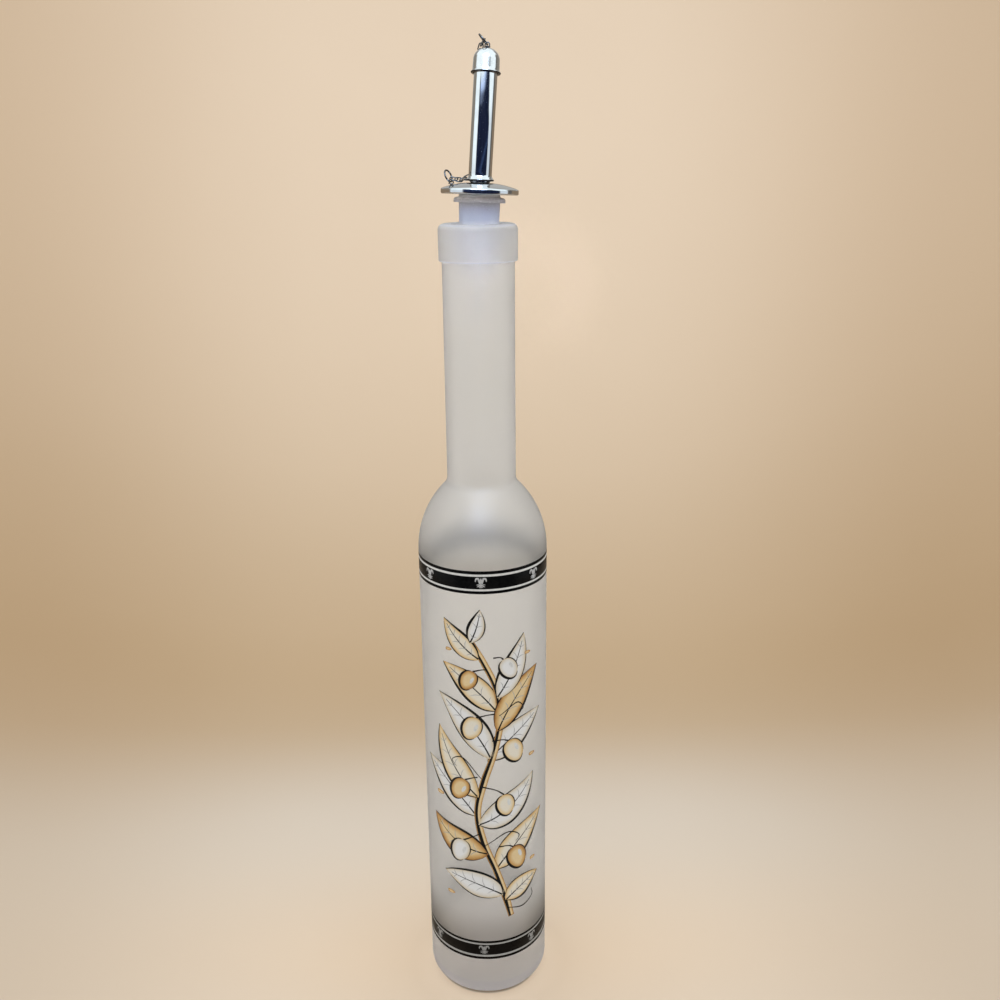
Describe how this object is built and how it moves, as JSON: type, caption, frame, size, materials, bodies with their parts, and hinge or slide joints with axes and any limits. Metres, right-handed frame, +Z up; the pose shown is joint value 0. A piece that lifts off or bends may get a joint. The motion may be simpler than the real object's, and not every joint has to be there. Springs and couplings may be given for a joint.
{
  "type": "glass bottle",
  "caption": "Tall slim frosted glass bottle with black ornament bands, stopped by a finned plug with a polished steel pourer whose spout has a small domed cap kept by a fine link chain.",
  "frame": {"origin": "centre of the bottle's base, on the plane it stands on", "axes": "+Z up along the bottle, -Y to the front of the print, +X to the viewer's right"},
  "size_m": [0.051, 0.051, 0.3882],
  "materials": {
    "frosted_glass": "acid-frosted and translucent, with black printed bands and a printed picture panel",
    "milky_plastic": "soft milky plastic, satin",
    "polished_steel": "mirror polished",
    "satin_steel": "bright satin",
    "bright_wire": "drawn and plated wire"
  },
  "bodies": {
    "bottle": {"bottle_glass": "frosted_glass"},
    "plug": {"stopper_plug": "milky_plastic"},
    "spout": {"flange_disc": "polished_steel", "flange_eye": "polished_steel", "spout_stem": "polished_steel", "spout_tube": "polished_steel", "air_tube": "polished_steel"},
    "cap": {"cap_dome": "satin_steel", "cap_eye": "bright_wire", "chain_link_01": "bright_wire", "chain_link_02": "bright_wire", "chain_link_03": "bright_wire", "chain_link_04": "bright_wire", "chain_link_05": "bright_wire"},
    "cap_ring": {"cap_ring": "bright_wire"},
    "flange_ring": {"flange_ring": "bright_wire"},
    "link_06": {"chain_link_06": "bright_wire"},
    "link_07": {"chain_link_07": "bright_wire"},
    "link_08": {"chain_link_08": "bright_wire"},
    "link_09": {"chain_link_09": "bright_wire"},
    "link_10": {"chain_link_10": "bright_wire"},
    "link_11": {"chain_link_11": "bright_wire"},
    "link_12": {"chain_link_12": "bright_wire"},
    "link_13": {"chain_link_13": "bright_wire"},
    "link_14": {"chain_link_14": "bright_wire"},
    "link_15": {"chain_link_15": "bright_wire"},
    "link_16": {"chain_link_16": "bright_wire"},
    "link_17": {"chain_link_17": "bright_wire"},
    "link_18": {"chain_link_18": "bright_wire"},
    "link_19": {"chain_link_19": "bright_wire"},
    "link_20": {"chain_link_20": "bright_wire"},
    "link_21": {"chain_link_21": "bright_wire"},
    "link_22": {"chain_link_22": "bright_wire"},
    "link_23": {"chain_link_23": "bright_wire"},
    "link_24": {"chain_link_24": "bright_wire"},
    "link_25": {"chain_link_25": "bright_wire"},
    "link_26": {"chain_link_26": "bright_wire"},
    "link_27": {"chain_link_27": "bright_wire"},
    "link_28": {"chain_link_28": "bright_wire"},
    "link_29": {"chain_link_29": "bright_wire"}
  },
  "joints": [
    {"name": "plug_pull", "type": "slide", "parent": "bottle", "child": "plug", "axis": [0, 0, 1], "range_m": [-0.006, 0.05]},
    {"name": "spout_turn", "type": "hinge", "parent": "plug", "child": "spout", "pos_m": [0.00087, 0.00072, 0.33475], "axis": [0.0384, 0.0314, 0.9988], "continuous": true},
    {"name": "cap_lift", "type": "slide", "parent": "spout", "child": "cap", "axis": [0.0726, 0.1285, 0.989], "range_m": [0, 0.009]},
    {"name": "cap_ring_swing", "type": "hinge", "parent": "cap", "child": "cap_ring", "pos_m": [0.00431, 0.0048, 0.3846], "axis": [0, 1, 0], "range_deg": [-12, 4]},
    {"name": "flange_ring_swing", "type": "hinge", "parent": "spout", "child": "flange_ring", "pos_m": [-0.00929, 0.00207, 0.33924], "axis": [0.3901, 0.9008, 0.1907], "range_deg": [-6, 15]},
    {"name": "link_06_shift", "type": "slide", "parent": "spout", "child": "link_06", "axis": [0.0726, 0.1285, 0.989], "range_m": [0, 0.0088]},
    {"name": "link_07_shift", "type": "slide", "parent": "spout", "child": "link_07", "axis": [0.0726, 0.1285, 0.989], "range_m": [0, 0.0084]},
    {"name": "link_08_shift", "type": "slide", "parent": "spout", "child": "link_08", "axis": [0.0726, 0.1285, 0.989], "range_m": [0, 0.008]},
    {"name": "link_09_shift", "type": "slide", "parent": "spout", "child": "link_09", "axis": [0.0726, 0.1285, 0.989], "range_m": [0, 0.0076]},
    {"name": "link_10_shift", "type": "slide", "parent": "spout", "child": "link_10", "axis": [0.0726, 0.1285, 0.989], "range_m": [0, 0.0072]},
    {"name": "link_11_shift", "type": "slide", "parent": "spout", "child": "link_11", "axis": [0.0726, 0.1285, 0.989], "range_m": [0, 0.0068]},
    {"name": "link_12_shift", "type": "slide", "parent": "spout", "child": "link_12", "axis": [0.0726, 0.1285, 0.989], "range_m": [0, 0.0064]},
    {"name": "link_13_shift", "type": "slide", "parent": "spout", "child": "link_13", "axis": [0.0726, 0.1285, 0.989], "range_m": [0, 0.006]},
    {"name": "link_14_shift", "type": "slide", "parent": "spout", "child": "link_14", "axis": [0.0726, 0.1285, 0.989], "range_m": [0, 0.0055]},
    {"name": "link_15_shift", "type": "slide", "parent": "spout", "child": "link_15", "axis": [0.0726, 0.1285, 0.989], "range_m": [0, 0.0051]},
    {"name": "link_16_shift", "type": "slide", "parent": "spout", "child": "link_16", "axis": [0.0726, 0.1285, 0.989], "range_m": [0, 0.0047]},
    {"name": "link_17_shift", "type": "slide", "parent": "spout", "child": "link_17", "axis": [0.0726, 0.1285, 0.989], "range_m": [0, 0.0043]},
    {"name": "link_18_shift", "type": "slide", "parent": "spout", "child": "link_18", "axis": [0.0726, 0.1285, 0.989], "range_m": [0, 0.0039]},
    {"name": "link_19_shift", "type": "slide", "parent": "spout", "child": "link_19", "axis": [0.0726, 0.1285, 0.989], "range_m": [0, 0.0035]},
    {"name": "link_20_shift", "type": "slide", "parent": "spout", "child": "link_20", "axis": [0.0726, 0.1285, 0.989], "range_m": [0, 0.0031]},
    {"name": "link_21_shift", "type": "slide", "parent": "spout", "child": "link_21", "axis": [0.0726, 0.1285, 0.989], "range_m": [0, 0.0027]},
    {"name": "link_22_shift", "type": "slide", "parent": "spout", "child": "link_22", "axis": [0.0726, 0.1285, 0.989], "range_m": [0, 0.0023]},
    {"name": "link_23_shift", "type": "slide", "parent": "spout", "child": "link_23", "axis": [0.0726, 0.1285, 0.989], "range_m": [0, 0.0019]},
    {"name": "link_24_shift", "type": "slide", "parent": "spout", "child": "link_24", "axis": [0.0726, 0.1285, 0.989], "range_m": [0, 0.0014]},
    {"name": "link_25_shift", "type": "slide", "parent": "spout", "child": "link_25", "axis": [0.0726, 0.1285, 0.989], "range_m": [0, 0.0012]},
    {"name": "link_26_shift", "type": "slide", "parent": "spout", "child": "link_26", "axis": [0.0726, 0.1285, 0.989], "range_m": [0, 0.001]},
    {"name": "link_27_shift", "type": "slide", "parent": "spout", "child": "link_27", "axis": [0.0726, 0.1285, 0.989], "range_m": [0, 0.0008]},
    {"name": "link_28_shift", "type": "slide", "parent": "spout", "child": "link_28", "axis": [0.0726, 0.1285, 0.989], "range_m": [0, 0.0006]},
    {"name": "link_29_shift", "type": "slide", "parent": "spout", "child": "link_29", "axis": [0.0726, 0.1285, 0.989], "range_m": [0, 0.0004]}
  ],
  "couplings": [
    {"joint": "link_06_shift", "follows": "cap_lift", "ratio": 0.9545},
    {"joint": "link_07_shift", "follows": "cap_lift", "ratio": 0.9091},
    {"joint": "link_08_shift", "follows": "cap_lift", "ratio": 0.8636},
    {"joint": "link_09_shift", "follows": "cap_lift", "ratio": 0.8182},
    {"joint": "link_10_shift", "follows": "cap_lift", "ratio": 0.7727},
    {"joint": "link_11_shift", "follows": "cap_lift", "ratio": 0.7273},
    {"joint": "link_12_shift", "follows": "cap_lift", "ratio": 0.6818},
    {"joint": "link_13_shift", "follows": "cap_lift", "ratio": 0.6364},
    {"joint": "link_14_shift", "follows": "cap_lift", "ratio": 0.5909},
    {"joint": "link_15_shift", "follows": "cap_lift", "ratio": 0.5455},
    {"joint": "link_16_shift", "follows": "cap_lift", "ratio": 0.5},
    {"joint": "link_17_shift", "follows": "cap_lift", "ratio": 0.4545},
    {"joint": "link_18_shift", "follows": "cap_lift", "ratio": 0.4091},
    {"joint": "link_19_shift", "follows": "cap_lift", "ratio": 0.3636},
    {"joint": "link_20_shift", "follows": "cap_lift", "ratio": 0.3182},
    {"joint": "link_21_shift", "follows": "cap_lift", "ratio": 0.2727},
    {"joint": "link_22_shift", "follows": "cap_lift", "ratio": 0.2273},
    {"joint": "link_23_shift", "follows": "cap_lift", "ratio": 0.1818},
    {"joint": "link_24_shift", "follows": "cap_lift", "ratio": 0.1364},
    {"joint": "link_25_shift", "follows": "cap_lift", "ratio": 0.1136},
    {"joint": "link_26_shift", "follows": "cap_lift", "ratio": 0.0909},
    {"joint": "link_27_shift", "follows": "cap_lift", "ratio": 0.0682},
    {"joint": "link_28_shift", "follows": "cap_lift", "ratio": 0.0455},
    {"joint": "link_29_shift", "follows": "cap_lift", "ratio": 0.0227}
  ]
}
